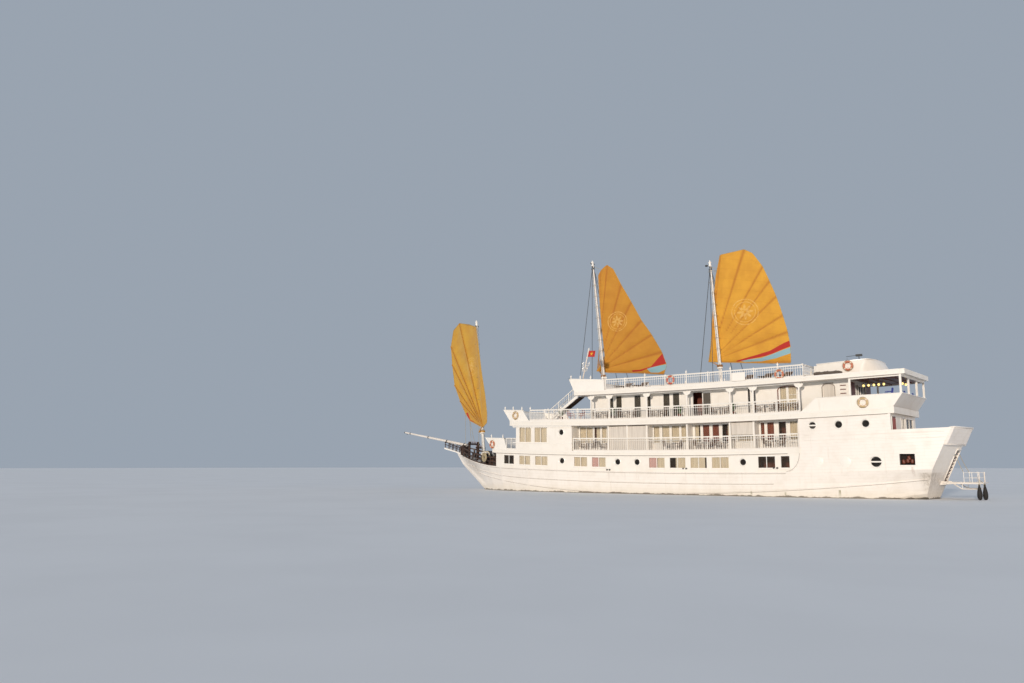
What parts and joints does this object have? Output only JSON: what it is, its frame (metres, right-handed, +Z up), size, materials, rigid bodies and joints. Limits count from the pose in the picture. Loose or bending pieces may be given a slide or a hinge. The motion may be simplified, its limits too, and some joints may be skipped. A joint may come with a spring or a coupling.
{
  "type": "chinese junk cruise ship, 1:2 scale model",
  "caption": "White passenger junk with open side decks, raised quarter, golden fan sails on swinging battens, bowsprit, screws, rudders and a folding boarding platform; 1:2 scale model.",
  "frame": {"origin": "on the centreline at the waterline, amidships", "axes": "+X towards the bow, +Y to port, +Z up"},
  "size_m": [28.7066, 4.06, 11.9847],
  "materials": {
    "hull_paint": "weathered satin white enamel",
    "house_paint": "satin warm white enamel",
    "deck_boards": "worn deck boards with white painted edges",
    "rail_paint": "gloss white enamel",
    "spar_paint": "satin white enamel",
    "dark_timber": "dark stained timber",
    "sailcloth": "golden ochre woven sailcloth",
    "flag_cloth": "red woven cloth",
    "wire": "galvanised wire",
    "door_paint": "reddish brown varnished wood",
    "window_frame": "white enamel",
    "rudder_steel": "red oxide antifouling",
    "bronze": "cast bronze",
    "fender_rubber": "black rubber",
    "glass": "dark window glass",
    "curtain": "beige curtain cloth",
    "furniture": "dark cane and wood",
    "foliage": "green leaves",
    "lifebuoy": "orange and white shell"
  },
  "bodies": {
    "root": {"aft_deck_wall": "house_paint", "aft_mast": "spar_paint", "aft_shrouds": "wire", "bow_stair": "rail_paint", "bowsprit": "spar_paint", "deck2_front": "house_paint", "deck2_house_port": "house_paint", "deck2_house_starboard": "house_paint", "deck2_prow": "house_paint", "deck2_rail_port": "rail_paint", "deck2_rail_starboard": "rail_paint", "deck3_aft_wall": "house_paint", "deck3_front": "house_paint", "deck3_house_port": "house_paint", "deck3_house_starboard": "house_paint", "deck3_pillars_port": "house_paint", "deck3_pillars_starboard": "house_paint", "deck3_prow": "house_paint", "deck3_rail_port": "rail_paint", "deck3_rail_starboard": "rail_paint", "deck_2": "deck_boards", "deck_3": "deck_boards", "deckhouse": "house_paint", "flag": "flag_cloth", "fore_mast": "spar_paint", "foredeck_rail": "dark_timber", "gallery_bulwark": "house_paint", "gallery_frame": "house_paint", "hull": "hull_paint", "lower_front": "house_paint", "lower_wall_port": "house_paint", "lower_wall_starboard": "house_paint", "main_mast": "spar_paint", "main_shrouds": "wire", "prow_plank": "house_paint", "quarter_port": "hull_paint", "quarter_starboard": "hull_paint", "signal_mast": "spar_paint", "sun_deck": "deck_boards", "sun_prow": "house_paint", "sun_rails": "rail_paint", "transom": "hull_paint", "windlass_frame": "dark_timber"},
    "fore_rig": {"fore_battens": "dark_timber", "fore_sail": "sailcloth"},
    "main_rig": {"main_battens": "dark_timber", "main_sail": "sailcloth"},
    "aft_rig": {"aft_battens": "dark_timber", "aft_sail": "sailcloth"},
    "propeller_port": {"propeller_port": "bronze"},
    "propeller_starboard": {"propeller_starboard": "bronze"},
    "rudder_port": {"rudder_port": "rudder_steel"},
    "rudder_starboard": {"rudder_starboard": "rudder_steel"},
    "stern_platform": {"stern_platform": "rail_paint", "stern_fender": "fender_rubber"},
    "aft_deck_door": {"aft_deck_door": "door_paint"},
    "sliding_door_port": {"sliding_door_port": "window_frame"},
    "sliding_door_starboard": {"sliding_door_starboard": "window_frame"},
    "windlass_drum": {"windlass_drum": "dark_timber"}
  },
  "joints": [
    {"name": "fore_sail_swing", "type": "hinge", "parent": "root", "child": "fore_rig", "pos_m": [10.765, 0, 1.3], "axis": [0.0785, 0, 0.9969], "range_deg": [-60, 104]},
    {"name": "main_sail_swing", "type": "hinge", "parent": "root", "child": "main_rig", "pos_m": [3.44, 0, 4.45], "axis": [0.0958, 0, 0.9954], "range_deg": [-55, 10]},
    {"name": "aft_sail_swing", "type": "hinge", "parent": "root", "child": "aft_rig", "pos_m": [-2.37, 0, 4.45], "axis": [0.0663, 0, 0.9978], "range_deg": [-55, 5]},
    {"name": "propeller_port_spin", "type": "hinge", "parent": "root", "child": "propeller_port", "pos_m": [-8.975, 0.825, -0.66], "axis": [1, 0, 0], "continuous": true},
    {"name": "propeller_starboard_spin", "type": "hinge", "parent": "root", "child": "propeller_starboard", "pos_m": [-8.975, -0.825, -0.66], "axis": [1, 0, 0], "continuous": true},
    {"name": "rudder_port_turn", "type": "hinge", "parent": "root", "child": "rudder_port", "pos_m": [-9.7, 0.825, -0.36], "axis": [0, 0, 1], "range_deg": [-35, 35]},
    {"name": "rudder_starboard_turn", "type": "hinge", "parent": "root", "child": "rudder_starboard", "pos_m": [-9.7, -0.825, -0.36], "axis": [0, 0, 1], "range_deg": [-35, 35]},
    {"name": "platform_fold", "type": "hinge", "parent": "root", "child": "stern_platform", "pos_m": [-10.89, 0, 0.575], "axis": [0, 1, 0], "range_deg": [0, 40]},
    {"name": "aft_deck_door_swing", "type": "hinge", "parent": "root", "child": "aft_deck_door", "pos_m": [-9.525, 1.65, 1.96515], "axis": [0, 0, -1], "range_deg": [0, 90]},
    {"name": "sliding_door_port_slide", "type": "slide", "parent": "root", "child": "sliding_door_port", "axis": [1, 0, 0], "range_m": [0, 0.25]},
    {"name": "sliding_door_starboard_slide", "type": "slide", "parent": "root", "child": "sliding_door_starboard", "axis": [1, 0, 0], "range_m": [0, 0.25]},
    {"name": "windlass_turn", "type": "hinge", "parent": "root", "child": "windlass_drum", "pos_m": [10.31, 0, 1.69396], "axis": [0, 1, 0], "continuous": true}
  ],
  "couplings": [
    {"joint": "rudder_starboard_turn", "follows": "rudder_port_turn", "ratio": 1}
  ]
}
